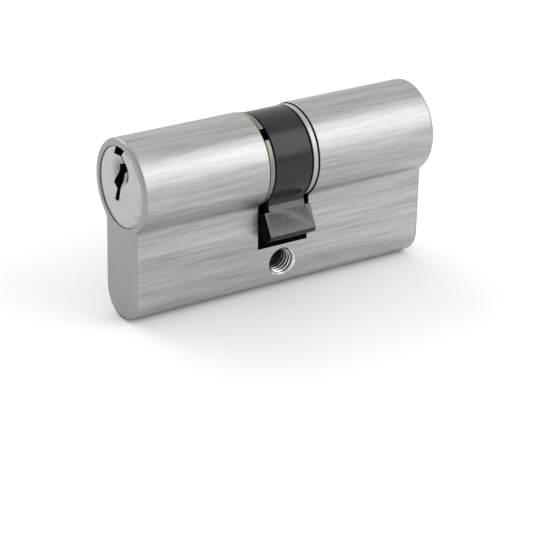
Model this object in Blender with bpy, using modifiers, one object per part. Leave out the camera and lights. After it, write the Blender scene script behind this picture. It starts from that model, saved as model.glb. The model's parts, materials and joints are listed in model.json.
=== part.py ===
"""Double euro profile cylinder, 30/30, with the right key's cuts set in both plugs.

Metres, +Z up. X runs along the plugs and the outer side is at -X. The origin is the centre of the
fixing screw's hole, which is the point that such a cylinder is measured from. Outlines are lists of
(y, z) points about the plugs' axis.
"""

import math

import bmesh
import bpy
from mathutils import Matrix, Vector

MM = 0.001
OUTER, INNER = -1, 1

# Lengths along X, from the fixing screw
OUTER_LENGTH = 30 * MM
INNER_LENGTH = 30 * MM

# Plugs
PLUG_RADIUS = 6.5 * MM
PLUG_CLEARANCE = 0.1 * MM
PLUG_FACE_RECESS = 0.05 * MM
FLANGE_LIP = 0.6 * MM
FLANGE_THICKNESS = 1.5 * MM
FLANGE_CHAMFER = 0.3 * MM
PLUG_END_GAP = 0.1 * MM
KEY_GUIDE_RADIUS = 3.2 * MM
KEY_GUIDE_DEPTH = 0.5 * MM
KEY_GUIDE_ABOVE_AXIS = 2.8 * MM

# Housing: round barrel over a flat web, cut through for the cam
BARREL_WALL = 1.3 * MM
WEB_THICKNESS = 10 * MM
CAM_TIP_CLEARANCE = 0.3 * MM
SCREW_BELOW_SLOT = 3.5 * MM
SCREW_ABOVE_BOTTOM = 5.7 * MM
SCREW_CORE_RADIUS = 2.1 * MM
SCREW_MOUTH_RADIUS = 2.8 * MM
SLOT_SIDE_GAP = 0.2 * MM

# Cam: a ring around both plugs, with a nose that leans towards -Y at rest
CAM_WIDTH = 7.4 * MM
CAM_WALL = 1.6 * MM
CAM_TIP_RADIUS = 15 * MM
CAM_HEAD_LENGTH = 4.9 * MM
CAM_HEAD_SIDE_GAP = 0.45 * MM
CAM_NOSE_THICKNESS = 2.8 * MM
CAM_TIP_CHAMFER = 0.6 * MM
CAM_GUSSET_FOOT = 3.1 * MM
CAM_GUSSET_TURN = math.radians(45)
CAM_REST_LEAN = math.radians(30)
COLLAR_THICKNESS = 2.2 * MM

# Retaining clips, one in a groove of each plug
CLIP_THICKNESS = 0.95 * MM
CLIP_BAND = 2.4 * MM
CLIP_SIDE_GAP = 0.35 * MM
CLIP_GROOVE_DEPTH = 0.7 * MM
CLIP_OPENING = math.radians(16)
CLIP_OPENING_LEAN = math.radians(39)

# Clutch pieces, which carry a plug's turn to the cam
CLUTCH_HUB_RADIUS = 3.4 * MM
CLUTCH_LUG_RADIUS = 4.9 * MM
CLUTCH_LUG_WIDTH = 3.7 * MM
CLUTCH_LENGTH = 3 * MM
CLUTCH_CLEARANCE = 0.2 * MM

# Pin stacks, counted from each end face inwards
PIN_RADIUS = 1.4 * MM
PIN_CLEARANCE = 0.1 * MM
PIN_PITCH = 4 * MM
FIRST_PIN_FROM_FACE = 4.5 * MM
CHAMBER_TOP = 2.6 * MM
SHEAR_GAP = 0.15 * MM
DRIVER_LENGTH = 5 * MM
CAP_THICKNESS = 1.9 * MM
CAP_RECESS = 0.3 * MM
SPRING_WIRE_RADIUS = 0.15 * MM
SPRING_END_GAP = 0.1 * MM
SPRING_TURNS = 5
# Height of each key pin's tip over the plugs' axis: the cuts of the key, from its shoulder to its tip
OUTER_CUTS = [-0.4 * MM, 0.6 * MM, -1.2 * MM, 0.1 * MM, -0.9 * MM]
INNER_CUTS = [-0.4 * MM, 0.6 * MM, -1.2 * MM, 0.1 * MM, -0.9 * MM]

ROUND_STEPS = 48
PIN_STEPS = 16
SPRING_STEPS = 8
WELD = 0.000001
FLAT = math.radians(0.1)
CUT_MARGIN = 1 * MM

FLANGE_RADIUS = PLUG_RADIUS + FLANGE_LIP
BORE_RADIUS = PLUG_RADIUS + PLUG_CLEARANCE
FLANGE_BORE_RADIUS = FLANGE_RADIUS + PLUG_CLEARANCE
BARREL_RADIUS = FLANGE_BORE_RADIUS + BARREL_WALL
SLOT_FLOOR = CAM_TIP_RADIUS + CAM_TIP_CLEARANCE
AXIS_Z = SLOT_FLOOR + SCREW_BELOW_SLOT
WEB_BOTTOM = AXIS_Z + SCREW_ABOVE_BOTTOM
CAM_HALF = CAM_WIDTH / 2
COLLAR_HALF = COLLAR_THICKNESS / 2
CLIP_NEAR = CAM_HALF + CLIP_SIDE_GAP
CLIP_FAR = CLIP_NEAR + CLIP_THICKNESS
SLOT_HALF = CLIP_FAR + SLOT_SIDE_GAP
GROOVE_NEAR = CLIP_NEAR - PLUG_CLEARANCE
GROOVE_FAR = CLIP_FAR + PLUG_CLEARANCE
GROOVE_RADIUS = PLUG_RADIUS - CLIP_GROOVE_DEPTH
PLUG_INNER_END = COLLAR_HALF + PLUG_END_GAP
CLUTCH_REACH = CLUTCH_LENGTH + 2 * CLUTCH_CLEARANCE
RECESS_END = PLUG_INNER_END + CLUTCH_REACH
CHAMBER_RADIUS = PIN_RADIUS + PIN_CLEARANCE


def clear_scene():
    for obj in list(bpy.data.objects):
        bpy.data.objects.remove(obj, do_unlink=True)


def new_collection(name):
    collection = bpy.data.collections.new(name)
    bpy.context.scene.collection.children.link(collection)
    return collection


def new_material(name, colour, metallic, roughness):
    material = bpy.data.materials.new(name)
    material.use_nodes = True
    shader = material.node_tree.nodes["Principled BSDF"]
    shader.inputs["Base Color"].default_value = (*colour, 1)
    shader.inputs["Metallic"].default_value = metallic
    shader.inputs["Roughness"].default_value = roughness
    return material


# --- Outlines ---------------------------------------------------------------------------------


def arc(radius, start, end, steps, centre=(0, 0)):
    """Points from one angle to another, counted from +Y towards +Z."""
    angles = [start + (end - start) * i / steps for i in range(steps + 1)]
    return [(centre[0] + radius * math.cos(a), centre[1] + radius * math.sin(a)) for a in angles]


def turned_by(outline, angle):
    """The outline turned about X, by the right-hand rule."""
    c, s = math.cos(angle), math.sin(angle)
    return [(y * c - z * s, y * s + z * c) for y, z in outline]


def seen_from(end, outline):
    """The outline, drawn as seen from the outer end, turned so that it looks the same from this end."""
    return [(-end * y, z) for y, z in outline]


def profile_outline():
    """The euro section: the barrel's arc, the web's two flats and its round bottom."""
    half_web = WEB_THICKNESS / 2
    meet = math.acos(half_web / BARREL_RADIUS)
    barrel = arc(BARREL_RADIUS, -meet, math.pi + meet, ROUND_STEPS)
    return barrel + arc(half_web, math.pi, 2 * math.pi, PIN_STEPS, (0, half_web - WEB_BOTTOM))


def cam_outline():
    """Ring and nose, with the nose straight down, its tip chamfered and a gusset behind its root."""
    ring_radius = BORE_RADIUS + CAM_WALL
    half = CAM_NOSE_THICKNESS / 2
    meet = math.acos(half / ring_radius)
    shoulder = CAM_TIP_CHAMFER - CAM_TIP_RADIUS
    nose = [(-half, shoulder), (CAM_TIP_CHAMFER - half, -CAM_TIP_RADIUS)]
    mirrored = [(-y, z) for y, z in reversed(nose)]
    gusset = [(half, CAM_GUSSET_FOOT - CAM_TIP_RADIUS)]
    ring = arc(ring_radius, CAM_GUSSET_TURN - math.pi / 2, math.pi + meet, ROUND_STEPS)
    return ring + nose + mirrored + gusset


def clip_outline():
    """A flat ring with an opening."""
    inner = GROOVE_RADIUS + PLUG_CLEARANCE
    start = math.pi / 2 + CLIP_OPENING_LEAN + CLIP_OPENING / 2
    end = start + 2 * math.pi - CLIP_OPENING
    return arc(inner + CLIP_BAND, start, end, ROUND_STEPS) + arc(inner, end, start, ROUND_STEPS)


def lug_outline(clearance):
    """The bar that the two lugs of a clutch piece lie in."""
    lug = CLUTCH_LUG_RADIUS + clearance
    meet = math.asin((CLUTCH_LUG_WIDTH / 2 + clearance) / lug)
    return arc(lug, -meet, meet, 4) + arc(lug, math.pi - meet, math.pi + meet, 4)


def clutch_outline(clearance=0.0):
    """A round hub with a lug on each side."""
    hub = CLUTCH_HUB_RADIUS + clearance
    lug = CLUTCH_LUG_RADIUS + clearance
    half = CLUTCH_LUG_WIDTH / 2 + clearance
    hub_meet, lug_meet = math.asin(half / hub), math.asin(half / lug)
    right = arc(lug, -lug_meet, lug_meet, 4) + arc(hub, hub_meet, math.pi - hub_meet, 8)
    return right + [(-y, -z) for y, z in right]


def keyway_outline():
    """The warded slot for the key's blade, open at the plug's top."""
    top = FLANGE_RADIUS + CUT_MARGIN
    front = [(-0.5, 5.95), (-1.35, 5), (-1.9, 3.6), (-0.6, 2.6), (-0.4, 2.1), (-0.1, -0.4), (0.35, -2.4)]
    tip = [(0.9, -2.85), (1.8, -2.7), (0.95, -0.5), (2.1, 0.25), (1.8, 1.2), (1.15, 2.7)]
    ward = [(1.05, 3.75), (-1.1, 4.75), (-0.25, 5.55), (0, 5.65), (2.05, 5.5)]
    middle = [(y * MM, z * MM) for y, z in front + tip + ward]
    return [(-2.25 * MM, top)] + middle + [(1.15 * MM, top)]


# --- Solids -----------------------------------------------------------------------------------


def prism(name, outline, start, end):
    """The outline carried along X from start to end, as a mesh whose origin is on the plugs' axis."""
    curve = bpy.data.curves.new(name, "CURVE")
    curve.dimensions = "2D"
    curve.fill_mode = "BOTH"
    curve.extrude = (end - start) / 2
    spline = curve.splines.new("POLY")
    spline.points.add(len(outline) - 1)
    for point, (y, z) in zip(spline.points, outline):
        point.co = (y, z, 0, 1)
    spline.use_cyclic_u = True
    sketch = bpy.data.objects.new(name, curve)
    # The sketch's own X, Y and Z lie along the part's Y, Z and X.
    turn = Matrix(((0, 0, 1), (1, 0, 0), (0, 1, 0))).to_4x4()
    sketch.matrix_world = Matrix.Translation(((start + end) / 2, 0, AXIS_Z)) @ turn
    return meshed(sketch)


def meshed(curve_object):
    """The curve's evaluated shape as a closed mesh object in the same place."""
    bpy.context.scene.collection.objects.link(curve_object)
    graph = bpy.context.evaluated_depsgraph_get()
    mesh = bpy.data.meshes.new_from_object(curve_object.evaluated_get(graph))
    shape = bmesh.new()
    shape.from_mesh(mesh)
    bmesh.ops.remove_doubles(shape, verts=shape.verts, dist=WELD)
    # Each flat cap becomes one face, without the thin triangles between points in a line.
    bmesh.ops.dissolve_limit(shape, angle_limit=FLAT, verts=shape.verts, edges=shape.edges)
    bmesh.ops.recalc_face_normals(shape, faces=shape.faces)
    shape.to_mesh(mesh)
    shape.free()
    name, place = curve_object.name, curve_object.matrix_world.copy()
    bpy.data.objects.remove(curve_object)
    obj = bpy.data.objects.new(name, mesh)
    obj.matrix_world = place
    return obj


def rod(name, radius, start, end, steps=ROUND_STEPS, end_radius=None):
    """A cylinder or cone between two points given as (x, y, z) about the plugs' axis."""
    shape = bmesh.new()
    start, end = Vector(start), Vector(end)
    along = end - start
    last = radius if end_radius is None else end_radius
    # Half a step of turn keeps its edges off those of the round pieces that it meets.
    half_step = Matrix.Rotation(math.pi / steps, 4, "Z")
    bmesh.ops.create_cone(
        shape, cap_ends=True, segments=steps, radius1=radius, radius2=last, depth=along.length,
        matrix=half_step,
    )
    mesh = bpy.data.meshes.new(name)
    shape.to_mesh(mesh)
    shape.free()
    obj = bpy.data.objects.new(name, mesh)
    obj.location = (start + end) / 2 + Vector((0, 0, AXIS_Z))
    obj.rotation_euler = along.to_track_quat("Z", "Y").to_euler()
    return obj


def block(name, low, high):
    """A box between two corners given about the plugs' axis."""
    shape = bmesh.new()
    low, high = Vector(low), Vector(high)
    bmesh.ops.create_cube(shape, size=1, matrix=Matrix.Diagonal((*(high - low), 1)))
    mesh = bpy.data.meshes.new(name)
    shape.to_mesh(mesh)
    shape.free()
    obj = bpy.data.objects.new(name, mesh)
    obj.location = (low + high) / 2 + Vector((0, 0, AXIS_Z))
    return obj


def turned(name, profile, steps):
    """A solid of revolution about its own Z. The (radius, height) points run from top to bottom."""
    mesh = bpy.data.meshes.new(name)
    points = [(radius, 0, height) for radius, height in profile]
    mesh.from_pydata(points, [(i, i + 1) for i in range(len(points) - 1)], [])
    obj = bpy.data.objects.new(name, mesh)
    screw = obj.modifiers.new("Turn", "SCREW")
    screw.axis = "Z"
    screw.steps = steps
    screw.render_steps = steps
    screw.use_merge_vertices = True
    screw.merge_threshold = WELD
    screw.use_smooth_shade = True
    return obj


def cut(obj, cutter, cutters):
    cutters.objects.link(cutter)
    cutter.hide_render = True
    cutter.display_type = "WIRE"
    boolean = obj.modifiers.new(cutter.name, "BOOLEAN")
    boolean.operation = "DIFFERENCE"
    boolean.solver = "EXACT"
    boolean.object = cutter


def finish(obj, material, parts, parent=None):
    """Puts a piece in the part's collection, on the body that it moves with."""
    parts.objects.link(obj)
    obj.data.materials.append(material)
    if obj.type == "MESH":
        obj.data.shade_smooth()
        obj.data.set_sharp_from_angle(angle=math.radians(30))
    if parent:
        obj.parent = parent
        obj.matrix_parent_inverse = parent.matrix_basis.inverted()
    return obj


# --- Pieces -----------------------------------------------------------------------------------


def side_name(end):
    return "outer" if end == OUTER else "inner"


def side_length(end):
    return OUTER_LENGTH if end == OUTER else INNER_LENGTH


def pin_places(end):
    """X of each pin stack on one side, from the end face inwards."""
    first = side_length(end) - FIRST_PIN_FROM_FACE
    return [end * (first - i * PIN_PITCH) for i in range(len(OUTER_CUTS))]


def make_housing(material, parts, cutters):
    housing = prism("housing", profile_outline(), -OUTER_LENGTH, INNER_LENGTH)
    through = rod(
        "plug_bore", BORE_RADIUS,
        (-OUTER_LENGTH - CUT_MARGIN, 0, 0), (INNER_LENGTH + CUT_MARGIN, 0, 0),
    )
    cut(housing, through, cutters)
    for end in (OUTER, INNER):
        face = side_length(end)
        depth = FLANGE_THICKNESS + PLUG_FACE_RECESS + PLUG_CLEARANCE
        start, stop = (end * (face - depth), 0, 0), (end * (face + CUT_MARGIN), 0, 0)
        cut(housing, rod(f"{side_name(end)}_flange_bore", FLANGE_BORE_RADIUS, start, stop), cutters)
        for number, x in enumerate(pin_places(end), 1):
            low, high = (x, 0, -WEB_BOTTOM - CUT_MARGIN), (x, 0, CUT_MARGIN - BORE_RADIUS)
            chamber = rod(f"{side_name(end)}_chamber_{number}", CHAMBER_RADIUS, low, high, PIN_STEPS)
            cut(housing, chamber, cutters)
    beyond = BARREL_RADIUS + CUT_MARGIN
    slot = block("cam_slot", (-SLOT_HALF, -beyond, -SLOT_FLOOR), (SLOT_HALF, beyond, beyond))
    cut(housing, slot, cutters)
    add_screw_hole(housing, cutters)
    return finish(housing, material, parts)


def add_screw_hole(housing, cutters):
    """The fixing screw's hole through the web, with a 45 degree mouth on both faces."""
    half_web = WEB_THICKNESS / 2
    narrow = half_web - (SCREW_MOUTH_RADIUS - SCREW_CORE_RADIUS)
    half = [
        (0, half_web + CUT_MARGIN),
        (SCREW_MOUTH_RADIUS + CUT_MARGIN, half_web + CUT_MARGIN),
        (SCREW_CORE_RADIUS, narrow),
    ]
    mirrored = [(radius, -height) for radius, height in reversed(half)]
    hole = turned("screw_hole", half + mirrored, 2 * PIN_STEPS)
    hole.rotation_euler = (math.pi / 2, 0, 0)
    cut(housing, hole, cutters)


def make_plug(end, material, parts, cutters):
    face = side_length(end) - PLUG_FACE_RECESS
    shoulder = face - FLANGE_THICKNESS
    profile = [
        (0, face),
        (FLANGE_RADIUS - FLANGE_CHAMFER, face),
        (FLANGE_RADIUS, face - FLANGE_CHAMFER),
        (FLANGE_RADIUS, shoulder),
        (PLUG_RADIUS, shoulder),
        (PLUG_RADIUS, GROOVE_FAR),
        (GROOVE_RADIUS, GROOVE_FAR),
        (GROOVE_RADIUS, GROOVE_NEAR),
        (PLUG_RADIUS, GROOVE_NEAR),
        (PLUG_RADIUS, PLUG_INNER_END),
        (0, PLUG_INNER_END),
    ]
    side = side_name(end)
    plug = turned(f"{side}_plug", profile, ROUND_STEPS)
    plug.location = (0, 0, AXIS_Z)
    plug.rotation_euler = (0, end * math.pi / 2, 0)
    ends = sorted((end * (face + CUT_MARGIN), end * (PLUG_INNER_END - CUT_MARGIN)))
    cut(plug, prism(f"{side}_keyway", seen_from(end, keyway_outline()), *ends), cutters)
    hub_ends = (0, 0, 0), (end * (RECESS_END + CLUTCH_CLEARANCE), 0, 0)
    cut(plug, rod(f"{side}_hub_recess", CLUTCH_HUB_RADIUS + CLUTCH_CLEARANCE, *hub_ends), cutters)
    ends = sorted((0, end * RECESS_END))
    cut(plug, prism(f"{side}_lug_recess", lug_outline(CLUTCH_CLEARANCE), *ends), cutters)
    for number, x in enumerate(pin_places(end), 1):
        low, high = (x, 0, -PLUG_RADIUS - CUT_MARGIN), (x, 0, CHAMBER_TOP)
        cut(plug, rod(f"{side}_plug_chamber_{number}", CHAMBER_RADIUS, low, high, PIN_STEPS), cutters)
    guide_end = (end * (face - KEY_GUIDE_DEPTH), 0, KEY_GUIDE_ABOVE_AXIS)
    guide_start = (end * (face + KEY_GUIDE_DEPTH), 0, KEY_GUIDE_ABOVE_AXIS)
    guide = rod(f"{side}_key_guide", 2 * KEY_GUIDE_RADIUS, guide_start, guide_end, ROUND_STEPS // 2, 0)
    cut(plug, guide, cutters)
    return finish(plug, material, parts)


def make_cam(material, parts, cutters):
    head_half = SLOT_HALF - CAM_HEAD_SIDE_GAP
    cam = prism("cam", turned_by(cam_outline(), -CAM_REST_LEAN), -head_half, head_half)
    for end in (OUTER, INNER):
        side = side_name(end)
        past = end * (head_half + CUT_MARGIN)
        neck = CAM_TIP_RADIUS - CAM_HEAD_LENGTH
        cut(cam, rod(f"{side}_cam_side", neck, (end * CAM_HALF, 0, 0), (past, 0, 0)), cutters)
        bearing = rod(f"{side}_cam_bearing", BORE_RADIUS, (end * COLLAR_HALF, 0, 0), (past, 0, 0))
        cut(cam, bearing, cutters)
    window = prism("cam_window", clutch_outline(CLUTCH_CLEARANCE), -2 * COLLAR_HALF, 2 * COLLAR_HALF)
    cut(cam, window, cutters)
    return finish(cam, material, parts)


def make_clip(end, material, parts, plug):
    ends = sorted((end * CLIP_NEAR, end * CLIP_FAR))
    clip = prism(f"{side_name(end)}_clip", seen_from(end, clip_outline()), *ends)
    return finish(clip, material, parts, plug)


def make_clutch(end, material, parts, plug):
    """The outer piece stands in the cam and the inner piece is clear of it; both slide together."""
    gap = PLUG_END_GAP / 2
    start = PLUG_INNER_END + gap if end == INNER else COLLAR_HALF - gap - CLUTCH_LENGTH
    clutch = prism(f"{side_name(end)}_clutch", clutch_outline(), start, start + CLUTCH_LENGTH)
    return finish(clutch, material, parts, plug)


def make_pin_stack(end, number, x, cut_height, materials, parts, plug, housing):
    """Key pin, driver pin, spring and chamber cap, stacked under the plug."""
    side = side_name(end)
    corner = 0.3 * MM
    tip_slope = 0.9
    base = SHEAR_GAP - PLUG_RADIUS
    length = cut_height - base
    key_pin = turned(
        f"{side}_key_pin_{number}",
        [
            (0, length),
            (corner, length),
            (PIN_RADIUS, length - (PIN_RADIUS - corner) * tip_slope),
            (PIN_RADIUS, corner),
            (PIN_RADIUS - corner, 0),
            (0, 0),
        ],
        PIN_STEPS,
    )
    key_pin.location = (x, 0, AXIS_Z + base)
    finish(key_pin, materials["brass"], parts, plug)

    driver_top = -BORE_RADIUS - SHEAR_GAP
    driver = turned(
        f"{side}_driver_pin_{number}",
        [
            (0, 0),
            (PIN_RADIUS - corner, 0),
            (PIN_RADIUS, -corner),
            (PIN_RADIUS, corner - DRIVER_LENGTH),
            (PIN_RADIUS - corner, -DRIVER_LENGTH),
            (0, -DRIVER_LENGTH),
        ],
        PIN_STEPS,
    )
    driver.location = (x, 0, AXIS_Z + driver_top)
    finish(driver, materials["steel"], parts, housing)

    cap_bottom = CAP_RECESS - WEB_BOTTOM
    cap_top = cap_bottom + CAP_THICKNESS
    cap = rod(f"{side}_chamber_cap_{number}", PIN_RADIUS, (x, 0, cap_bottom), (x, 0, cap_top), PIN_STEPS)
    finish(cap, materials["brass"], parts, housing)

    spring_gap = SPRING_END_GAP + SPRING_WIRE_RADIUS
    low, high = cap_top + spring_gap, driver_top - DRIVER_LENGTH - spring_gap
    spring = coil(f"{side}_spring_{number}", low, high)
    spring.location = (x, 0, AXIS_Z)
    finish(spring, materials["spring"], parts, housing)


def coil(name, low, high):
    """A compression spring along Z."""
    curve = bpy.data.curves.new(name, "CURVE")
    curve.dimensions = "3D"
    curve.bevel_depth = SPRING_WIRE_RADIUS
    curve.bevel_resolution = 1
    curve.use_fill_caps = True
    count = SPRING_TURNS * SPRING_STEPS
    spline = curve.splines.new("POLY")
    spline.points.add(count)
    radius = PIN_RADIUS - SPRING_WIRE_RADIUS
    for i, point in enumerate(spline.points):
        angle = 2 * math.pi * i / SPRING_STEPS
        height = low + (high - low) * i / count
        point.co = (radius * math.cos(angle), radius * math.sin(angle), height, 1)
    return bpy.data.objects.new(name, curve)


def main():
    clear_scene()
    parts = new_collection("euro_cylinder")
    cutters = new_collection("cutters")
    cutters.hide_render = True
    nickel = new_material("satin_nickel", (0.62, 0.61, 0.59), 1, 0.32)
    plug_nickel = new_material("polished_nickel", (0.66, 0.65, 0.63), 1, 0.2)
    black_steel = new_material("blackened_steel", (0.05, 0.05, 0.052), 0.8, 0.45)
    clip_steel = new_material("clip_steel", (0.6, 0.58, 0.54), 1, 0.3)
    clutch_steel = new_material("sintered_steel", (0.3, 0.3, 0.31), 1, 0.5)
    stack = {
        "brass": new_material("brass", (0.72, 0.52, 0.24), 1, 0.3),
        "steel": new_material("hardened_steel", (0.5, 0.5, 0.52), 1, 0.3),
        "spring": new_material("spring_bronze", (0.62, 0.42, 0.25), 1, 0.35),
    }
    housing = make_housing(nickel, parts, cutters)
    make_cam(black_steel, parts, cutters)
    for end, cuts in ((OUTER, OUTER_CUTS), (INNER, INNER_CUTS)):
        plug = make_plug(end, plug_nickel, parts, cutters)
        make_clip(end, clip_steel, parts, plug)
        make_clutch(end, clutch_steel, parts, plug)
        for number, (x, cut_height) in enumerate(zip(pin_places(end), cuts), 1):
            make_pin_stack(end, number, x, cut_height, stack, parts, plug, housing)


main()
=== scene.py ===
import json
import math

import bmesh
import bpy
from mathutils import Matrix, Vector
from mathutils.geometry import intersect_line_sphere_2d


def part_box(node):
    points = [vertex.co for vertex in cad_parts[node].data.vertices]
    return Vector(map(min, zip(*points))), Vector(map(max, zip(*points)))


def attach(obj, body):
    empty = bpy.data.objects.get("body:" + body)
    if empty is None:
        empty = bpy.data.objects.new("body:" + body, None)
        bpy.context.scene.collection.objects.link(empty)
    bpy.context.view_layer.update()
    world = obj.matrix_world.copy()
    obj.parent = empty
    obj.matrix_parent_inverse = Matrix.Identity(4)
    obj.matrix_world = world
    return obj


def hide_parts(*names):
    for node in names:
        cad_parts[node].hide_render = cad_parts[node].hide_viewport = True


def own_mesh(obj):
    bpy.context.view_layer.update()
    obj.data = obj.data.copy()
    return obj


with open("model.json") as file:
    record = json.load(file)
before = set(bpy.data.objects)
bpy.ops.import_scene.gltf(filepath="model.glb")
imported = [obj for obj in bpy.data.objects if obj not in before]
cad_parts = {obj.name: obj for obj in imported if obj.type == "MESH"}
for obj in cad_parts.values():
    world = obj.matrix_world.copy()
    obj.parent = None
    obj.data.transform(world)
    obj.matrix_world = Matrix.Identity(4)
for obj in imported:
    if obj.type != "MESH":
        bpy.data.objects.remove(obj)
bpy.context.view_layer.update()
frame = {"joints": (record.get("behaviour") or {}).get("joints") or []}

MM = 0.001
OUTER, INNER = -1, 1
SIDES = {OUTER: "outer", INNER: "inner"}
PIN_NUMBERS = range(1, 6)


# --- Places taken from the frame ----------------------------------------------------------------


def joint_named(name):
    return next(joint for joint in frame["joints"] if joint["name"] == name)


housing_low, housing_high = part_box("housing")
clip_low, clip_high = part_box("inner_clip")
OUTER_END, INNER_END = housing_low[0], housing_high[0]
WEB_BOTTOM, BARREL_TOP = housing_low[2], housing_high[2]
AXIS_Z = joint_named("outer_plug_turn")["pos_m"][2]
BARREL_RADIUS = BARREL_TOP - AXIS_Z
PLUG_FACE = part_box("inner_plug")[1][0]
PLUG_INNER_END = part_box("inner_plug")[0][0]
CLIP_NEAR, CLIP_FAR = clip_low[0], clip_high[0]
HEAD_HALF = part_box("cam")[1][0]
HEAD_SIDE_GAP = 0.45 * MM
SLOT_HALF = HEAD_HALF + HEAD_SIDE_GAP

# --- Sizes shared with the solids, and the finer ones that only the finished pieces have ---------

PLUG_RADIUS = 6.5 * MM
BORE_RADIUS = 6.6 * MM
FLANGE_RADIUS = 7.1 * MM
FLANGE_THICKNESS = 1.5 * MM
WEB_FILLET = 1.6 * MM
FLANGE_GAP = 0.1 * MM
GROOVE_RADIUS = 5.8 * MM
GROOVE_GAP = 0.1 * MM
WEB_HALF = 5 * MM
SLOT_FLOOR = AXIS_Z - 15.3 * MM
END_BEVEL = 0.5 * MM
SCRIBE_DEPTH, SCRIBE_WIDTH, SCRIBE_DROP = 0.035 * MM, 0.07 * MM, 0.12 * MM
SLOT_EDGE_ROUND = 0.16 * MM
BORE_EDGE = 0.05 * MM
SCREW_CORE = 2.1 * MM
SCREW_MAJOR = 2.5 * MM
SCREW_MOUTH = 2.8 * MM
THREAD_PITCH = 0.8 * MM
THREAD_ROOT_HALF, THREAD_CREST_HALF = 0.06 * MM, 0.38 * MM
THREAD_OVERLAP = 0.08 * MM
MOUTH_OVERLAP = 0.4 * MM
CAM_RING = 8.2 * MM
CAM_HALF = 3.7 * MM
CAM_TIP = 15 * MM
CAM_NECK = 10.1 * MM
CAM_NOSE_HALF = 1.4 * MM
CAM_TIP_CHAMFER = 0.6 * MM
CAM_EDGE_ROUND = 0.08 * MM
CAM_FILLET = 2.2 * MM
CAM_GUSSET_FOOT = 11.9 * MM
CAM_GUSSET_TURN = math.radians(45)
HEAD_GUSSET_DROP = 0.12 * MM
CAM_LEAN = math.radians(30)
COLLAR_HALF = 1.1 * MM
CLIP_INNER, CLIP_OUTER = 5.9 * MM, 8.3 * MM
CLIP_OPENING = math.radians(16)
CLIP_LEAN = math.radians(39)
HUB_RADIUS, LUG_RADIUS, LUG_HALF = 3.4 * MM, 4.9 * MM, 1.85 * MM
CLUTCH_GAP = 0.2 * MM
RING_EDGE_ROUND, DOG_EDGE_ROUND, KEYWAY_EDGE_ROUND = 0.12 * MM, 0.12 * MM, 0.12 * MM
RIM_WIDTH, RIM_DEPTH, RIM_CORNER = 1.25 * MM, 0.11 * MM, 0.06 * MM
GUIDE_RADIUS, GUIDE_DEPTH, GUIDE_HEIGHT = 3.4 * MM, 0.65 * MM, 2.8 * MM
GUIDE_STEEPNESS = 1.5
PIN_RADIUS = 1.4 * MM
PIN_CORNER = 0.3 * MM
PIN_TIP_FLAT = 0.3 * MM
PIN_TIP_SLOPE = 0.9
CHAMBER_RADIUS = 1.5 * MM
CHAMBER_TOP = AXIS_Z + 2.6 * MM
RECESS_LENGTH = 3.4 * MM
WIRE_RADIUS = 0.15 * MM
SPRING_TURNS, CLOSED_TURNS, STEPS_PER_TURN = 8, 1, 24
BEYOND = 1 * MM
MERGE_WITHIN = 0.001 * MM
SLIVER_WITHIN = 0.004 * MM
OPEN_EDGE_WITHIN = 0.02 * MM


# --- Modelling helpers ---------------------------------------------------------------------------


def only(obj):
    """Selects this object alone and makes it active."""
    bpy.ops.object.select_all(action="DESELECT")
    obj.select_set(True)
    bpy.context.view_layer.objects.active = obj


def placed(name):
    """Names the object that an operator has just added and moves its place into its mesh."""
    obj = bpy.context.active_object
    obj.name = name
    only(obj)
    bpy.ops.object.transform_apply(location=True, rotation=True, scale=True)
    return obj


def rod(name, radius, start, end, vertices=96, end_radius=None):
    """A cylinder or cone between two points."""
    bpy.ops.object.select_all(action="DESELECT")
    start, end = Vector(start), Vector(end)
    along = end - start
    bpy.ops.mesh.primitive_cone_add(
        vertices=vertices,
        radius1=radius,
        radius2=radius if end_radius is None else end_radius,
        depth=along.length,
        location=(start + end) / 2,
        rotation=along.to_track_quat("Z", "Y").to_euler(),
    )
    return placed(name)


def block(name, low, high):
    bpy.ops.object.select_all(action="DESELECT")
    low, high = Vector(low), Vector(high)
    bpy.ops.mesh.primitive_cube_add(size=1, location=(low + high) / 2, scale=high - low)
    return placed(name)


def modify(obj, kind, **settings):
    """Adds a modifier and applies it."""
    modifier = obj.modifiers.new(kind.title(), kind)
    for key, value in settings.items():
        setattr(modifier, key, value)
    only(obj)
    bpy.ops.object.modifier_apply(modifier=modifier.name)


def cut(obj, *cutters):
    for cutter in cutters:
        modify(obj, "BOOLEAN", operation="DIFFERENCE", solver="EXACT", object=cutter)
        bpy.data.objects.remove(cutter)


def join(obj, *others):
    for other in others:
        modify(obj, "BOOLEAN", operation="UNION", solver="EXACT", object=other)
        bpy.data.objects.remove(other)


def bevel_where(obj, test, width, segments, shape=0.5):
    """Bevels the edges whose two ends pass the test."""
    only(obj)
    bpy.ops.object.mode_set(mode="EDIT")
    bpy.ops.mesh.select_mode(type="EDGE")
    bpy.ops.mesh.select_all(action="DESELECT")
    mesh = bmesh.from_edit_mesh(obj.data)
    for edge in mesh.edges:
        edge.select_set(test(edge.verts[0].co, edge.verts[1].co))
    bmesh.update_edit_mesh(obj.data)
    bpy.ops.mesh.bevel(offset=width, segments=segments, profile=shape, clamp_overlap=True)
    bpy.ops.mesh.select_all(action="SELECT")
    bpy.ops.mesh.remove_doubles(threshold=MERGE_WITHIN)
    bpy.ops.object.mode_set(mode="OBJECT")


def tidied(obj):
    """Merges doubles and turns every face outwards."""
    only(obj)
    bpy.ops.object.mode_set(mode="EDIT")
    bpy.ops.mesh.select_all(action="SELECT")
    bpy.ops.mesh.remove_doubles(threshold=MERGE_WITHIN)
    bpy.ops.mesh.normals_make_consistent(inside=False)
    bpy.ops.object.mode_set(mode="OBJECT")
    return obj


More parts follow.
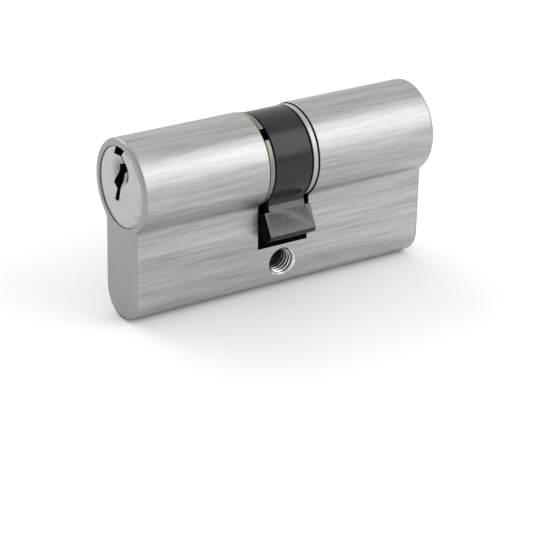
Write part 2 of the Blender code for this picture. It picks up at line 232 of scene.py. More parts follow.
def closed(obj):
    """Takes out the slivers that the cuts leave, so that the piece is one closed skin."""
    only(obj)
    bpy.ops.object.mode_set(mode="EDIT")
    bpy.ops.mesh.select_all(action="SELECT")
    bpy.ops.mesh.remove_doubles(threshold=SLIVER_WITHIN)
    bpy.ops.mesh.dissolve_degenerate(threshold=SLIVER_WITHIN)
    bpy.ops.mesh.select_all(action="DESELECT")
    bpy.ops.mesh.select_non_manifold()
    bpy.ops.mesh.remove_doubles(threshold=OPEN_EDGE_WITHIN)
    bpy.ops.object.mode_set(mode="OBJECT")
    return tidied(obj)


def smooth(obj, degrees=30):
    only(obj)
    bpy.ops.object.shade_smooth_by_angle(angle=math.radians(degrees))
    modify(obj, "WEIGHTED_NORMAL", keep_sharp=True, weight=80)
    return obj


def near(value, place, within=0.02 * MM):
    return abs(value - place) < within


def arc(radius, start, end, steps, centre=(0, 0)):
    """Points of a (y, z) outline about the plugs' axis, counted from +Y towards +Z."""
    angles = [start + (end - start) * i / steps for i in range(steps + 1)]
    return [(centre[0] + radius * math.cos(a), centre[1] + radius * math.sin(a)) for a in angles]


def turned_by(outline, angle):
    c, s = math.cos(angle), math.sin(angle)
    return [(y * c - z * s, y * s + z * c) for y, z in outline]


def seen_from(end, outline):
    """The outline, drawn as seen from the outer end, turned so that it looks the same from this end."""
    return [(-end * y, z) for y, z in outline]


def prism(name, outline, start, end):
    """An outline about the plugs' axis, filled at start and extruded along X to end."""
    mesh = bpy.data.meshes.new(name)
    points = [(start, y, AXIS_Z + z) for y, z in outline]
    mesh.from_pydata(points, [], [range(len(points))])
    obj = bpy.data.objects.new(name, mesh)
    bpy.context.scene.collection.objects.link(obj)
    only(obj)
    bpy.ops.object.mode_set(mode="EDIT")
    bpy.ops.mesh.select_all(action="SELECT")
    move = {"value": (end - start, 0, 0)}
    bpy.ops.mesh.extrude_region_move(TRANSFORM_OT_translate=move)
    bpy.ops.object.mode_set(mode="OBJECT")
    return tidied(obj)


def turned(name, profile, along, steps=96, centre=(0, 0, 0)):
    """A solid turned about X or Z through a centre. The profile's points are (radius, place)."""
    mesh = bpy.data.meshes.new(name)
    mesh.from_pydata(
        [(r, 0, h) for r, h in profile], [(i, i + 1) for i in range(len(profile) - 1)], []
    )
    obj = bpy.data.objects.new(name, mesh)
    bpy.context.scene.collection.objects.link(obj)
    modify(
        obj, "SCREW", axis="Z", steps=steps, render_steps=steps,
        use_merge_vertices=True, merge_threshold=MERGE_WITHIN,
    )
    if along == "X":
        obj.data.transform(Matrix.Rotation(math.pi / 2, 4, "Y"))
    obj.data.transform(Matrix.Translation(centre))
    return tidied(obj)


def paint(obj, finish, where=None):
    """Gives the piece a finish all over, or only on the faces whose middle and normal pass a test."""
    obj.data.materials.append(finish)
    if where:
        index = len(obj.data.materials) - 1
        for face in obj.data.polygons:
            if where(face.center, face.normal):
                face.material_index = index


def hand_over(obj, body, slot, *nodes):
    """Puts a finished piece on its body, in the place of the frame's plain nodes."""
    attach(obj, body)
    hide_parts(*nodes)
    return obj


# --- Finishes ------------------------------------------------------------------------------------


class Finish:
    """A material on a Principled shader, with short ways to add the nodes that its grain needs."""

    def __init__(self, name, metallic=1.0):
        self.material = bpy.data.materials.new(name)
        self.material.use_nodes = True
        self.nodes = self.material.node_tree.nodes
        self.links = self.material.node_tree.links
        self.shader = self.nodes["Principled BSDF"]
        self.shader.inputs["Metallic"].default_value = metallic
        self.place = self.nodes.new("ShaderNodeTexCoord").outputs["Object"]

    def noise(self, stretch, detail=3.0, roughness=0.55):
        """Noise whose features are 1/stretch metres long along X, Y and Z."""
        mapping = self.nodes.new("ShaderNodeMapping")
        mapping.inputs["Scale"].default_value = stretch
        texture = self.nodes.new("ShaderNodeTexNoise")
        texture.inputs["Scale"].default_value = 1
        texture.inputs["Detail"].default_value = detail
        texture.inputs["Roughness"].default_value = roughness
        self.links.new(self.place, mapping.inputs["Vector"])
        self.links.new(mapping.outputs["Vector"], texture.inputs["Vector"])
        return texture.outputs["Fac"]

    def blend(self, first, second, share):
        """Two grey patterns mixed by a fixed share of the second."""
        mix = self.nodes.new("ShaderNodeMix")
        mix.inputs["Factor"].default_value = share
        self.links.new(first, mix.inputs["A"])
        self.links.new(second, mix.inputs["B"])
        return mix.outputs["Result"]

    def spread(self, value, low, high, start=0.3, stop=0.7):
        """The pattern carried from start..stop to low..high."""
        node = self.nodes.new("ShaderNodeMapRange")
        node.inputs["From Min"].default_value = start
        node.inputs["From Max"].default_value = stop
        node.inputs["To Min"].default_value = low
        node.inputs["To Max"].default_value = high
        self.links.new(value, node.inputs["Value"])
        return node.outputs["Result"]

    def colour(self, value, dark, light, start=0.3, stop=0.7):
        ramp = self.nodes.new("ShaderNodeValToRGB")
        ramp.color_ramp.elements[0].position = start
        ramp.color_ramp.elements[0].color = (*dark, 1)
        ramp.color_ramp.elements[1].position = stop
        ramp.color_ramp.elements[1].color = (*light, 1)
        self.links.new(value, ramp.inputs["Fac"])
        self.links.new(ramp.outputs["Color"], self.shader.inputs["Base Color"])
        return ramp.outputs["Color"]

    def roughness(self, value, low, high, start=0.3, stop=0.7):
        self.links.new(self.spread(value, low, high, start, stop), self.shader.inputs["Roughness"])

    def relief(self, value, depth, strength=1.0):
        bump = self.nodes.new("ShaderNodeBump")
        bump.inputs["Strength"].default_value = strength
        bump.inputs["Distance"].default_value = depth
        self.links.new(value, bump.inputs["Height"])
        self.links.new(bump.outputs["Normal"], self.shader.inputs["Normal"])


def brushed_nickel():
    """Nickel plate over brass, brushed along the cylinder, with fine, long and broad strokes."""
    finish = Finish("brushed_nickel")
    fine = finish.noise((210, 6500, 6500), 2, 0.6)
    long = finish.noise((60, 2300, 2300), 3, 0.6)
    broad = finish.noise((28, 520, 520), 2)
    strokes = finish.blend(finish.blend(fine, long, 0.5), broad, 0.36)
    finish.colour(strokes, (0.325, 0.324, 0.319), (0.555, 0.553, 0.546), 0.36, 0.64)
    finish.roughness(strokes, 0.36, 0.48, 0.36, 0.64)
    finish.relief(finish.blend(fine, long, 0.4), 0.03 * MM, 0.6)
    return finish.material


def end_nickel():
    """The same plate on the sawn and linished end faces, even and matte."""
    finish = Finish("linished_nickel")
    grain = finish.blend(finish.noise((3000, 3000, 3000), 3), finish.noise((300, 300, 200), 2), 0.5)
    finish.colour(grain, (0.31, 0.309, 0.305), (0.36, 0.359, 0.354))
    finish.roughness(grain, 0.34, 0.44)
    finish.relief(grain, 0.004 * MM, 0.4)
    return finish.material


def plug_nickel():
    """Fine turned plug face with a bright polish, with painted shade that darkens it down in the key
    guide.
    """
    finish = Finish("polished_nickel")
    grain = finish.blend(finish.noise((2500, 2500, 2500), 3), finish.noise((350, 350, 350), 2), 0.5)
    parts = finish.nodes.new("ShaderNodeSeparateXYZ")
    finish.links.new(finish.place, parts.inputs["Vector"])
    outward = finish.nodes.new("ShaderNodeMath")
    outward.operation = "ABSOLUTE"
    finish.links.new(parts.outputs["X"], outward.inputs[0])
    # painted shade: the colour darkens with depth below the plug's face, down in the key guide
    painted_depth_shade = finish.spread(outward.outputs["Value"], 0, 1, PLUG_FACE - 0.6 * MM, PLUG_FACE - 0.04 * MM)
    shade = finish.blend(grain, painted_depth_shade, 0.6)
    finish.colour(shade, (0.2, 0.2, 0.198), (0.455, 0.455, 0.45), 0.2, 0.8)
    finish.roughness(grain, 0.17, 0.24)
    finish.relief(grain, 0.003 * MM, 0.3)
    return finish.material


def rim_nickel():
    """Bright, slightly uneven band around the plug's face."""
    finish = Finish("bright_rim_nickel")
    patches = finish.noise((900, 900, 900), 2)
    finish.colour(patches, (0.39, 0.39, 0.387), (0.5, 0.5, 0.496), 0.35, 0.65)
    finish.roughness(patches, 0.12, 0.2)
    finish.relief(patches, 0.004 * MM, 0.4)
    return finish.material


def painted_shade_bore():
    """Painted shade for bores, chambers and slot walls: near black and without gloss."""
    finish = Finish("greased_bore", 0.0)
    grain = finish.noise((1800, 1800, 1800), 3)
    finish.colour(grain, (0.005, 0.005, 0.005), (0.011, 0.0108, 0.0105))
    finish.roughness(grain, 0.7, 0.9)
    finish.shader.inputs["Specular IOR Level"].default_value = 0
    finish.relief(grain, 0.006 * MM, 0.5)
    return finish.material


def thread_nickel():
    """Plated thread of the fixing screw's hole, with painted light: painted highlight on the crests and
    the mouth's edge, painted shade in the roots and darker deeper in.
    """
    finish = Finish("thread_nickel")
    parts = finish.nodes.new("ShaderNodeSeparateXYZ")
    finish.links.new(finish.place, parts.inputs["Vector"])
    flat = finish.nodes.new("ShaderNodeCombineXYZ")
    finish.links.new(parts.outputs["X"], flat.inputs["X"])
    finish.links.new(parts.outputs["Z"], flat.inputs["Z"])
    radius = finish.nodes.new("ShaderNodeVectorMath")
    radius.operation = "LENGTH"
    finish.links.new(flat.outputs["Vector"], radius.inputs[0])
    outward = finish.nodes.new("ShaderNodeMath")
    outward.operation = "ABSOLUTE"
    finish.links.new(parts.outputs["Y"], outward.inputs[0])
    # painted shade deeper in the hole and in the roots, painted highlight on the crests and at the mouth
    near_mouth = finish.spread(outward.outputs["Value"], 0, 1, 0.5 * MM, 4.6 * MM)
    crest_edge, root_edge = SCREW_CORE + 0.04 * MM, SCREW_MAJOR - 0.05 * MM
    on_crest = finish.spread(radius.outputs["Value"], 1, 0, crest_edge, root_edge)
    at_mouth = finish.spread(outward.outputs["Value"], 0, 1, 4.5 * MM, 4.75 * MM)
    crest = finish.nodes.new("ShaderNodeMath")
    crest.operation = "MULTIPLY_ADD"
    finish.links.new(near_mouth, crest.inputs[0])
    finish.links.new(on_crest, crest.inputs[1])
    finish.links.new(at_mouth, crest.inputs[2])
    grain = finish.noise((1500, 1500, 1500), 3)
    shade = finish.blend(crest.outputs["Value"], grain, 0.1)
    finish.colour(shade, (0.012, 0.0115, 0.011), (0.8, 0.79, 0.77), 0.22, 0.85)
    finish.roughness(grain, 0.18, 0.3)
    finish.relief(grain, 0.004 * MM, 0.3)
    return finish.material


def black_steel():
    """Sintered steel of the cam, blackened, with a soft mottle."""
    finish = Finish("blackened_steel", 0.0)
    fine = finish.noise((5000, 5000, 5000), 3)
    mottle = finish.noise((900, 900, 900), 4)
    grain = finish.blend(fine, mottle, 0.6)
    finish.colour(grain, (0.004, 0.004, 0.0044), (0.011, 0.011, 0.0114))
    finish.roughness(grain, 0.17, 0.3)
    finish.shader.inputs["Specular IOR Level"].default_value = 0.43
    finish.relief(grain, 0.008 * MM, 0.5)
    return finish.material


def flank_steel():
    """Painted light: the flanks of the cam's nose painted paler than the rest of the cam, with a grain.
    """
    finish = Finish("rubbed_steel", 0.3)
    fine = finish.noise((9000, 9000, 9000), 2)
    cloud = finish.noise((1100, 1100, 1100), 3)
    grain = finish.blend(fine, cloud, 0.4)
    finish.colour(grain, (0.09, 0.09, 0.092), (0.15, 0.15, 0.152), 0.35, 0.65)
    finish.roughness(grain, 0.42, 0.56)
    finish.relief(fine, 0.012 * MM, 0.6)
    return finish.material


def clip_steel(name, dark, light):
    """Satin spring steel of a snap ring, in a tone of its own."""
    finish = Finish(name)
    strokes = finish.blend(finish.noise((6000, 700, 700), 3), finish.noise((900, 300, 300), 2), 0.4)
    finish.colour(strokes, dark, light)
    finish.roughness(strokes, 0.36, 0.48)
    finish.relief(strokes, 0.008 * MM, 0.4)
    return finish.material


def turned_metal(name, dark, light, low, high):
    """Small turned piece with fine rings about its own Z."""
    finish = Finish(name)
    rings = finish.blend(finish.noise((400, 400, 9000), 2), finish.noise((700, 700, 700), 3), 0.5)
    finish.colour(rings, dark, light)
    finish.roughness(rings, low, high)
    finish.relief(rings, 0.006 * MM, 0.4)
    return finish.material


def studio_floor():
    finish = Finish("pale_floor", 0.0)
    finish.colour(finish.noise((6, 6, 6), 2), (0.93, 0.93, 0.93), (0.95, 0.95, 0.95))
    finish.shader.inputs["Roughness"].default_value = 0.9
    finish.shader.inputs["Specular IOR Level"].default_value = 0.1
    return finish.material


# --- Pieces --------------------------------------------------------------------------------------


def pin_x(end, number):
    low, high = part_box(f"{SIDES[end]}_driver_pin_{number}")
    return (low[0] + high[0]) / 2


def keyway_outline():
    """The warded slot for the key's blade, open at the plug's top."""
    top = FLANGE_RADIUS + BEYOND
    front = [(-0.5, 5.95), (-1.35, 5), (-1.9, 3.6), (-0.6, 2.6), (-0.4, 2.1), (-0.1, -0.4), (0.35, -2.4)]
    tip = [(0.9, -2.85), (1.8, -2.7), (0.95, -0.5), (2.1, 0.25), (1.8, 1.2), (1.15, 2.7)]
    ward = [(1.05, 3.75), (-1.1, 4.75), (-0.25, 5.55), (0, 5.65), (2.05, 5.5)]
    middle = [(y * MM, z * MM) for y, z in front + tip + ward]
    return [(-2.25 * MM, top)] + middle + [(1.15 * MM, top)]


def drive_dog_outline(gap=0.0):
    """A round hub with a lug on each side.

    The odd steps keep its corners off the edges of the turned end face that it is cut into.
    """
    hub, lug, half = HUB_RADIUS + gap, LUG_RADIUS + gap, LUG_HALF + gap
    hub_meet, lug_meet = math.asin(half / hub), math.asin(half / lug)
    right = arc(lug, -lug_meet, lug_meet, 11) + arc(hub, hub_meet, math.pi - hub_meet, 25)
    return right + [(-y, -z) for y, z in right]


def euro_section():
    """The barrel's arc, the fillets under it, the web's flats and its round bottom."""
    reach = WEB_HALF + WEB_FILLET
    drop = -math.sqrt((BARREL_RADIUS + WEB_FILLET) ** 2 - reach**2)
    lean = math.atan2(-drop, reach)
    right = arc(WEB_FILLET, math.pi, math.pi - lean, 8, (reach, drop))
    left = arc(WEB_FILLET, lean, 0, 8, (-reach, drop))
    barrel = arc(BARREL_RADIUS, -lean, math.pi + lean, 144)
    bottom = arc(WEB_HALF, math.pi, 2 * math.pi, 48, (0, WEB_BOTTOM + WEB_HALF - AXIS_Z))
    return right[:-1] + barrel + left[1:] + bottom


def housing_blank():
    """The section as one bar, with soft end edges."""
    bar = prism("nickel_housing", euro_section(), OUTER_END, INNER_END)
    for end in (OUTER_END, INNER_END):
        bevel_where(bar, lambda a, b: near(a.x, end) and near(b.x, end), END_BEVEL, 5)
    return bar


def bore_cutter(end):
    """The plug's bore on one side, with the flange's counterbore and a broken edge."""
    face = OUTER_END if end == OUTER else INNER_END
    depth = FLANGE_THICKNESS + 2 * FLANGE_GAP
    flange = FLANGE_RADIUS + FLANGE_GAP
    profile = [
        (0, face + end * BEYOND),
        (flange + BORE_EDGE + BEYOND, face + end * BEYOND),
        (flange, face - end * BORE_EDGE),
        (flange, face - end * depth),
        (BORE_RADIUS, face - end * depth),
        (BORE_RADIUS, 0),
        (0, 0),
    ]
    return turned("bore", profile, "X", 144, (0, 0, AXIS_Z))


def screw_hole_cutters():
    """Core, two mouths and the helical groove of the fixing screw's thread."""
    outside = WEB_HALF + BEYOND
    core = rod("core", SCREW_CORE, (0, -outside, 0), (0, outside, 0), 64)
    mouth = SCREW_MOUTH - SCREW_CORE
    cones = [
        rod(
            "mouth", SCREW_MOUTH + BEYOND, (0, side * outside, 0),
            (0, side * (WEB_HALF - mouth - MOUTH_OVERLAP), 0), 64, SCREW_CORE - MOUTH_OVERLAP,
        )
        for side in (-1, 1)
    ]
    turns = math.ceil(2 * outside / THREAD_PITCH)
    start = -turns * THREAD_PITCH / 2
    section = [
        (SCREW_CORE - THREAD_OVERLAP, -THREAD_CREST_HALF),
        (SCREW_MAJOR, -THREAD_ROOT_HALF),
        (SCREW_MAJOR, THREAD_ROOT_HALF),
        (SCREW_CORE - THREAD_OVERLAP, THREAD_CREST_HALF),
    ]
    mesh = bpy.data.meshes.new("groove")
    points = [(r, 0, start + h) for r, h in section]
    mesh.from_pydata(points, [(0, 1), (1, 2), (2, 3), (3, 0)], [])
    groove = bpy.data.objects.new("groove", mesh)
    bpy.context.scene.collection.objects.link(groove)
    modify(
        groove, "SCREW", axis="Z", steps=40, render_steps=40, iterations=turns,
        screw_offset=THREAD_PITCH, use_merge_vertices=False,
    )
    only(groove)
    bpy.ops.object.mode_set(mode="EDIT")
    bpy.ops.mesh.select_all(action="SELECT")
    bpy.ops.mesh.remove_doubles(threshold=MERGE_WITHIN)
    bpy.ops.mesh.select_all(action="DESELECT")
    bpy.ops.mesh.select_non_manifold()
    bpy.ops.mesh.edge_face_add()
    bpy.ops.object.mode_set(mode="OBJECT")
    groove.data.transform(Matrix.Rotation(-math.pi / 2, 4, "X"))
    tidied(groove)
    return core, cones, groove


def make_housing(nickel, ends, dark, thread):
    housing = housing_blank()
    beyond = BARREL_RADIUS + BEYOND
    top = AXIS_Z + beyond
    cut(housing, block("slot", (-SLOT_HALF, -beyond, SLOT_FLOOR), (SLOT_HALF, beyond, top)))

    def slot_edge(a, b):
        on_wall = near(abs(a.x), SLOT_HALF) and near(abs(b.x), SLOT_HALF) and a.x * b.x > 0
        inside = near(a.z, SLOT_FLOOR) and near(b.z, SLOT_FLOOR)
        return on_wall and not inside

    bevel_where(housing, slot_edge, SLOT_EDGE_ROUND, 3)
    for side in (-1, 1):
        ys = sorted((side * (WEB_HALF - SCRIBE_DEPTH), side * (WEB_HALF + BEYOND)))
        low = OUTER_END - BEYOND, ys[0], SLOT_FLOOR - SCRIBE_DROP - SCRIBE_WIDTH
        high = INNER_END + BEYOND, ys[1], SLOT_FLOOR - SCRIBE_DROP
        cut(housing, block("scribed_line", low, high))
    for end in (OUTER, INNER):
        cut(housing, bore_cutter(end))
        for number in PIN_NUMBERS:
            x = pin_x(end, number)
            low, high = (x, 0, WEB_BOTTOM - BEYOND), (x, 0, AXIS_Z - BORE_RADIUS + BEYOND)
            cut(housing, rod("chamber", CHAMBER_RADIUS, low, high, 40))
    core, cones, groove = screw_hole_cutters()
    cut(housing, core, *cones, groove)
    paint(closed(housing), nickel)
    paint(housing, ends, lambda c, n: abs(c.x) > INNER_END - END_BEVEL)

    # painted shade: the faces picked here, inside the bores, on the slot's walls and floor and in the
    # chambers, are painted near black
    def inside_bore(c, n):
        radial = math.hypot(c.y, c.z - AXIS_Z)
        in_bore = radial < FLANGE_RADIUS + 2 * FLANGE_GAP and abs(c.x) < INNER_END - 0.06 * MM
        near_face = radial > FLANGE_RADIUS and abs(c.x) > INNER_END - 0.9 * MM and abs(n.x) < 0.5
        on_slot_wall = near(abs(c.x), SLOT_HALF, 0.05 * MM) and abs(n.x) > 0.9 and radial < BARREL_RADIUS
        on_floor = near(c.z, SLOT_FLOOR) and n.z > 0.9
        upright = abs(n.z) < 0.2 and abs(n.x) < 0.999
        in_chamber = abs(c.y) < CHAMBER_RADIUS and abs(c.x) > SLOT_HALF and upright and c.z < AXIS_Z
        return (in_bore and not near_face) or on_slot_wall or on_floor or in_chamber

    paint(housing, dark, inside_bore)

    def in_screw_hole(c, n):
        within = math.hypot(c.x, c.z) < SCREW_MOUTH + 0.02 * MM and abs(c.y) < WEB_HALF - 0.01 * MM
        return within and abs(n.y) < 0.9

    # the thread's painted highlight and painted shade go on the screw hole's faces
    paint(housing, thread, in_screw_hole)
    hand_over(smooth(housing, 28), "housing", "satin_nickel", "housing")


def guide_profile(end):
    """The key guide's dish: level in the middle, then a smooth rise to the plug's face."""
    steps = 28
    at_edge = 1 / (1 + GUIDE_STEEPNESS**6)
    dish = []
    for share in (i / steps for i in range(steps + 1)):
        depth = GUIDE_DEPTH * (1 / (1 + (GUIDE_STEEPNESS * share) ** 6) - at_edge)
        dish.append((GUIDE_RADIUS * share, PLUG_FACE - depth))
    dish += [(GUIDE_RADIUS + 0.05 * MM, PLUG_FACE + BEYOND), (0, PLUG_FACE + BEYOND)]
    return [(radius, end * place) for radius, place in dish]


def make_plug(end, nickel, bright, dark):
    """Turned plug with its rim, the dished key guide, the warded keyway and its chambers."""
    side = SIDES[end]
    rounding = [
        (FLANGE_RADIUS - RIM_WIDTH - 0.1 * MM, PLUG_FACE),
        (FLANGE_RADIUS - RIM_WIDTH + 0.05 * MM, PLUG_FACE - 0.02 * MM),
        (FLANGE_RADIUS - RIM_CORNER, PLUG_FACE - RIM_DEPTH),
        (FLANGE_RADIUS - 0.3 * RIM_CORNER, PLUG_FACE - RIM_DEPTH - 0.3 * RIM_CORNER),
        (FLANGE_RADIUS, PLUG_FACE - RIM_DEPTH - RIM_CORNER),
    ]
    profile = [(0, PLUG_FACE)] + rounding + [
        (FLANGE_RADIUS, PLUG_FACE - FLANGE_THICKNESS),
        (PLUG_RADIUS, PLUG_FACE - FLANGE_THICKNESS),
        (PLUG_RADIUS, CLIP_FAR + GROOVE_GAP),
        (GROOVE_RADIUS, CLIP_FAR + GROOVE_GAP),
        (GROOVE_RADIUS, CLIP_NEAR - GROOVE_GAP),
        (PLUG_RADIUS, CLIP_NEAR - GROOVE_GAP),
        (PLUG_RADIUS, PLUG_INNER_END),
        (0, PLUG_INNER_END),
    ]
    profile = [(radius, end * place) for radius, place in profile]
    plug = turned(f"{side}_keyed_plug", profile, "X", 144, (0, 0, AXIS_Z))
    cut(plug, turned("guide", guide_profile(end), "X", 72, (0, 0, AXIS_Z + GUIDE_HEIGHT)))
    outline = seen_from(end, keyway_outline())
    keyway = prism("keyway", outline, end * (PLUG_FACE + BEYOND), end * (PLUG_INNER_END - BEYOND))
    bevel_where(keyway, lambda a, b: not near(a.x, b.x), KEYWAY_EDGE_ROUND, 3)
    cut(plug, keyway)
    recess = PLUG_INNER_END + RECESS_LENGTH
    cut(plug, prism("dog_recess", drive_dog_outline(CLUTCH_GAP), 0, end * recess))
    for number in PIN_NUMBERS:
        x = pin_x(end, number)
        low, high = (x, 0, AXIS_Z - PLUG_RADIUS - BEYOND), (x, 0, CHAMBER_TOP)
        cut(plug, rod("chamber", CHAMBER_RADIUS, low, high, 40))
    paint(closed(plug), nickel)

    def on_rim(c, n):
        radial = math.hypot(c.y, c.z - AXIS_Z)
        near_face = abs(c.x) > PLUG_FACE - RIM_DEPTH - RIM_CORNER
        return radial > FLANGE_RADIUS - RIM_WIDTH and near_face and abs(n.x) > 0.2

    paint(plug, bright, on_rim)

    # painted shade: the keyway's walls below the face are painted near black
    def inside(c, n):
        radial = math.hypot(c.y, c.z - AXIS_Z)
        in_keyway = abs(c.y) < 2.2 * MM and abs(n.x) < 0.3 and radial < FLANGE_RADIUS - 0.05 * MM
        return in_keyway and abs(c.x) < PLUG_FACE - 0.2 * MM

    paint(plug, dark, inside)
    hand_over(smooth(plug, 28), f"{side}_plug", "polished_nickel", f"{side}_plug")


def cam_section():
    """The cam's ring, nose straight down, with a wide fillet before the nose and the gusset behind."""
    reach = CAM_NOSE_HALF + CAM_FILLET
    drop = -math.sqrt((CAM_RING + CAM_FILLET) ** 2 - reach**2)
    lean = math.atan2(-drop, reach)
    fillet = arc(CAM_FILLET, lean, 0, 10, (-reach, drop))
    ring = arc(CAM_RING, CAM_GUSSET_TURN - math.pi / 2, math.pi + lean, 128)
    feet = [(-CAM_NOSE_HALF, -CAM_GUSSET_FOOT), (CAM_NOSE_HALF, -CAM_GUSSET_FOOT)]
    return ring + fillet[1:] + feet


def cam_head_section():
    """The nose's wide head from the neck's end to the chamfered tip, nose straight down."""
    shoulder, tip_half = CAM_TIP_CHAMFER - CAM_TIP, CAM_NOSE_HALF - CAM_TIP_CHAMFER
    foot = Vector((CAM_NOSE_HALF, HEAD_GUSSET_DROP - CAM_GUSSET_FOOT))
    root = CAM_RING * Vector((math.sin(CAM_GUSSET_TURN), -math.cos(CAM_GUSSET_TURN)))
    crossings = intersect_line_sphere_2d(foot, root, (0, 0), CAM_NECK)
    side = next(point for point in crossings if point)
    start, stop = math.atan2(side.y, side.x), -math.pi / 2 - math.asin(CAM_NOSE_HALF / CAM_NECK)
    front = [(-CAM_NOSE_HALF, shoulder), (-tip_half, -CAM_TIP)]
    back = [(tip_half, -CAM_TIP), (CAM_NOSE_HALF, shoulder), tuple(foot)]
    return front + back + arc(CAM_NECK, start, stop, 10)


def make_cam(steel, flank_light_paint, dark):
    """Ring with a nose: a narrow neck and a wider head, with soft corners all round."""
    cam = prism("black_cam", turned_by(cam_section(), -CAM_LEAN), -CAM_HALF, CAM_HALF)
    join(cam, prism("head", turned_by(cam_head_section(), -CAM_LEAN), -HEAD_HALF, HEAD_HALF))
    modify(
        cam, "BEVEL", width=CAM_EDGE_ROUND, segments=3, limit_method="ANGLE",
        angle_limit=math.radians(35), harden_normals=False,
    )
    tidied(cam)
    for end in (OUTER, INNER):
        past = end * (HEAD_HALF + BEYOND)
        ends = (end * COLLAR_HALF, 0, AXIS_Z), (past, 0, AXIS_Z)
        cut(cam, rod("bearing", BORE_RADIUS, *ends, 128))
    cut(cam, prism("dog_window", drive_dog_outline(CLUTCH_GAP), -2 * COLLAR_HALF, 2 * COLLAR_HALF))
    paint(closed(cam), steel)
    flank = Vector((0, -math.cos(CAM_LEAN), math.sin(CAM_LEAN)))
    back = -flank

    def on_flank(c, n):
        radial = math.hypot(c.y, c.z - AXIS_Z)
        return radial > CAM_RING + 0.3 * MM and (n.dot(flank) > 0.93 or n.dot(back) > 0.93)

    # painted light: the nose's flanks and back are painted paler
    paint(cam, flank_light_paint, on_flank)
    # painted shade: the cam's side faces are painted near black
    paint(cam, dark, lambda c, n: abs(n.x) > 0.9)
    hand_over(smooth(cam, 32), "cam", "black_steel", "cam")


def make_clip(end, steel):
    side = SIDES[end]
    start = math.pi / 2 + CLIP_LEAN + CLIP_OPENING / 2
    stop = start + 2 * math.pi - CLIP_OPENING
    outline = arc(CLIP_OUTER, start, stop, 120) + arc(CLIP_INNER, stop, start, 120)
    clip = prism(f"{side}_snap_ring", seen_from(end, outline), end * CLIP_NEAR, end * CLIP_FAR)
    modify(
        clip, "BEVEL", width=RING_EDGE_ROUND, segments=3, limit_method="ANGLE",
        angle_limit=math.radians(40), harden_normals=False,
    )
    paint(tidied(clip), steel)
    hand_over(smooth(clip), f"{side}_plug", "clip_steel", f"{side}_clip")


def make_clutch(end, steel):
    side = SIDES[end]
    low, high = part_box(f"{side}_clutch")
    clutch = prism(f"{side}_drive_dog", drive_dog_outline(), low[0], high[0])
    modify(
        clutch, "BEVEL", width=DOG_EDGE_ROUND, segments=2, limit_method="ANGLE",
        angle_limit=math.radians(40), harden_normals=False,
    )
    paint(tidied(clutch), steel)
    hand_over(smooth(clutch), f"{side}_clutch", "sintered_steel", f"{side}_clutch")


def rounded(radius, corner, place, way, steps=5):
    """The quarter round of a turned piece's edge at this place, towards +Z or -Z."""
    angles = [math.pi / 2 * i / steps for i in range(steps + 1)]
    points = [
        (radius - corner + corner * math.sin(a), place - way * corner * (1 - math.cos(a)))
        for a in angles
    ]
    return points if way > 0 else points[::-1]


def make_pins(end, number, brass, steel):
    side = SIDES[end]
    x = pin_x(end, number)
    low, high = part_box(f"{side}_key_pin_{number}")
    shoulder = high[2] - (PIN_RADIUS - PIN_TIP_FLAT) * PIN_TIP_SLOPE
    profile = [(0, high[2]), (PIN_TIP_FLAT * 0.8, high[2]), (PIN_TIP_FLAT, high[2] - 0.05 * MM)]
    profile += [(PIN_RADIUS, shoulder)] + rounded(PIN_RADIUS, PIN_CORNER, low[2], -1) + [(0, low[2])]
    pin = turned(f"{side}_tip_pin_{number}", profile, "Z", 48, (x, 0, 0))
    paint(pin, brass)
    hand_over(smooth(pin), f"{side}_key_pin_{number}", "pin_brass", f"{side}_key_pin_{number}")

    low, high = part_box(f"{side}_driver_pin_{number}")
    profile = [(0, high[2])] + rounded(PIN_RADIUS, PIN_CORNER, high[2], 1)
    profile += rounded(PIN_RADIUS, PIN_CORNER, low[2], -1) + [(0, low[2])]
    pin = turned(f"{side}_top_pin_{number}", profile, "Z", 48, (x, 0, 0))
    paint(pin, steel)
    hand_over(smooth(pin), f"{side}_driver_pin_{number}", "pin_steel", f"{side}_driver_pin_{number}")


def make_cap(end, number, brass):
    """Chamber cap: a pressed disc, lightly dished by the punch."""
    side = SIDES[end]
    low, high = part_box(f"{side}_chamber_cap_{number}")
    profile = [(0, high[2])] + rounded(PIN_RADIUS, 0.15 * MM, high[2], 1)
    profile += rounded(PIN_RADIUS, 0.2 * MM, low[2], -1)
    profile += [(0.8 * MM, low[2]), (0.6 * MM, low[2] + 0.12 * MM), (0, low[2] + 0.2 * MM)]
    cap = turned(f"{side}_chamber_plug_{number}", profile, "Z", 48, (pin_x(end, number), 0, 0))
    paint(cap, brass)
    hand_over(smooth(cap), "housing", "pin_brass", f"{side}_chamber_cap_{number}")


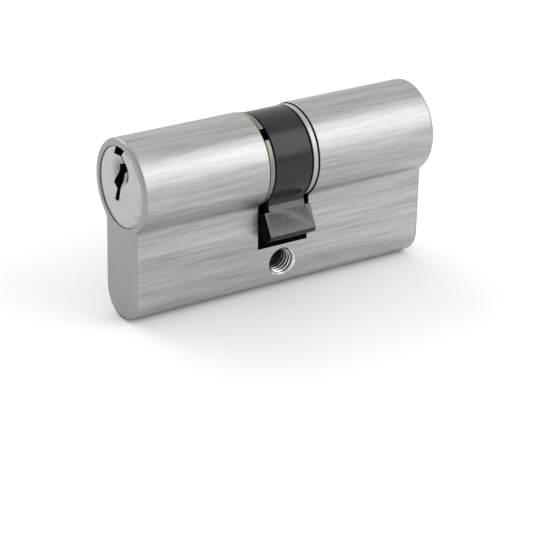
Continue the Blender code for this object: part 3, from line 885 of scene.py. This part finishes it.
def make_spring(end, number, bronze):
    """Compression spring with closed end turns."""
    side = SIDES[end]
    low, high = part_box(f"{side}_spring_{number}")
    x = pin_x(end, number)
    bottom, top = low[2] + WIRE_RADIUS, high[2] - WIRE_RADIUS
    closed_rise = 2.1 * WIRE_RADIUS
    curve = bpy.data.curves.new(f"{side}_coil_{number}", "CURVE")
    curve.dimensions = "3D"
    curve.bevel_depth = WIRE_RADIUS
    curve.bevel_resolution = 3
    curve.use_fill_caps = True
    count = SPRING_TURNS * STEPS_PER_TURN
    free_turns = SPRING_TURNS - 2 * CLOSED_TURNS
    spline = curve.splines.new("POLY")
    spline.points.add(count)
    radius = PIN_RADIUS - WIRE_RADIUS
    for i, point in enumerate(spline.points):
        turn = i / STEPS_PER_TURN
        free = min(max(turn - CLOSED_TURNS, 0), free_turns) / free_turns
        ends = min(turn, CLOSED_TURNS) + max(turn - SPRING_TURNS + CLOSED_TURNS, 0)
        height = bottom + ends * closed_rise + free * (top - bottom - 2 * CLOSED_TURNS * closed_rise)
        angle = 2 * math.pi * turn
        point.co = (x + radius * math.cos(angle), radius * math.sin(angle), height, 1)
    coil = bpy.data.objects.new(f"{side}_coil_{number}", curve)
    bpy.context.scene.collection.objects.link(coil)
    only(coil)
    bpy.ops.object.convert(target="MESH")
    coil = bpy.context.active_object
    paint(tidied(coil), bronze)
    hand_over(smooth(coil, 60), "housing", "spring_bronze", f"{side}_spring_{number}")
    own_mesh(coil)


# --- Studio --------------------------------------------------------------------------------------


def add_light(name, place, target, size, power):
    data = bpy.data.lights.new(name, "AREA")
    data.shape = "RECTANGLE"
    data.size, data.size_y = size
    data.energy = power
    light = bpy.data.objects.new(name, data)
    bpy.context.scene.collection.objects.link(light)
    light.location = place
    light.rotation_euler = (Vector(target) - Vector(place)).to_track_quat("-Z", "Y").to_euler()


def set_studio():
    world = bpy.data.worlds.new("studio")
    world.use_nodes = True
    sky = world.node_tree.nodes["Background"]
    sky.inputs["Color"].default_value = (1, 1, 1, 1)
    sky.inputs["Strength"].default_value = 0.87
    bpy.context.scene.world = world
    bpy.context.scene.view_settings.view_transform = "Standard"
    centre = (0, 0, AXIS_Z)
    add_light("key_softbox", (0.27, -0.33, 0.31), centre, size=(0.42, 0.42), power=0.95)
    add_light("back_softbox", (-0.12, 0.5, 0.42), (-0.05, 0.12, 0), size=(0.5, 0.4), power=1.2)
    bpy.ops.object.select_all(action="DESELECT")
    bpy.ops.mesh.primitive_plane_add(size=4, location=(0, 0, WEB_BOTTOM - 0.02 * MM))
    floor = bpy.context.active_object
    floor.name = "studio_floor"
    floor.data.materials.append(studio_floor())


def set_camera():
    azimuth, elevation, roll = math.radians(33.94), math.radians(24.71), math.radians(1.32)
    target = Vector((1.915 * MM, 0, -4.97 * MM))
    distance = 384.1 * MM
    forward = Vector((
        math.sin(azimuth) * math.cos(elevation),
        math.cos(azimuth) * math.cos(elevation),
        -math.sin(elevation),
    ))
    right = forward.cross(Vector((0, 0, 1))).normalized()
    up = right.cross(forward)
    tilted_right = right * math.cos(roll) + up * math.sin(roll)
    tilted_up = up * math.cos(roll) - right * math.sin(roll)
    data = bpy.data.cameras.new("camera")
    data.sensor_width = 36
    data.lens = 139
    data.clip_start = 0.01
    camera = bpy.data.objects.new("camera", data)
    bpy.context.scene.collection.objects.link(camera)
    turn = Matrix((tilted_right, tilted_up, -forward)).transposed().to_4x4()
    camera.matrix_world = Matrix.Translation(target - forward * distance) @ turn
    bpy.context.scene.camera = camera


def main():
    bpy.ops.object.select_all(action="DESELECT")
    set_camera()
    dark = painted_shade_bore()
    nickel, bright = plug_nickel(), rim_nickel()
    brass = turned_metal("turned_brass", (0.6, 0.42, 0.17), (0.8, 0.6, 0.3), 0.2, 0.34)
    steel = turned_metal("turned_steel", (0.4, 0.4, 0.42), (0.6, 0.6, 0.62), 0.2, 0.34)
    bronze = turned_metal("spring_bronze", (0.5, 0.32, 0.17), (0.7, 0.48, 0.28), 0.2, 0.34)
    sinter = turned_metal("sintered_steel", (0.2, 0.2, 0.21), (0.34, 0.34, 0.35), 0.4, 0.6)
    clips = {
        OUTER: clip_steel("warm_clip_steel", (0.21, 0.198, 0.162), (0.29, 0.274, 0.228)),
        INNER: clip_steel("bright_clip_steel", (0.39, 0.39, 0.39), (0.49, 0.49, 0.488)),
    }
    make_housing(brushed_nickel(), end_nickel(), dark, thread_nickel())
    make_cam(black_steel(), flank_steel(), dark)
    for end in (OUTER, INNER):
        make_plug(end, nickel, bright, dark)
        make_clip(end, clips[end])
        make_clutch(end, sinter)
        for number in PIN_NUMBERS:
            make_pins(end, number, brass, steel)
            make_cap(end, number, brass)
            make_spring(end, number, bronze)
    set_studio()


main()
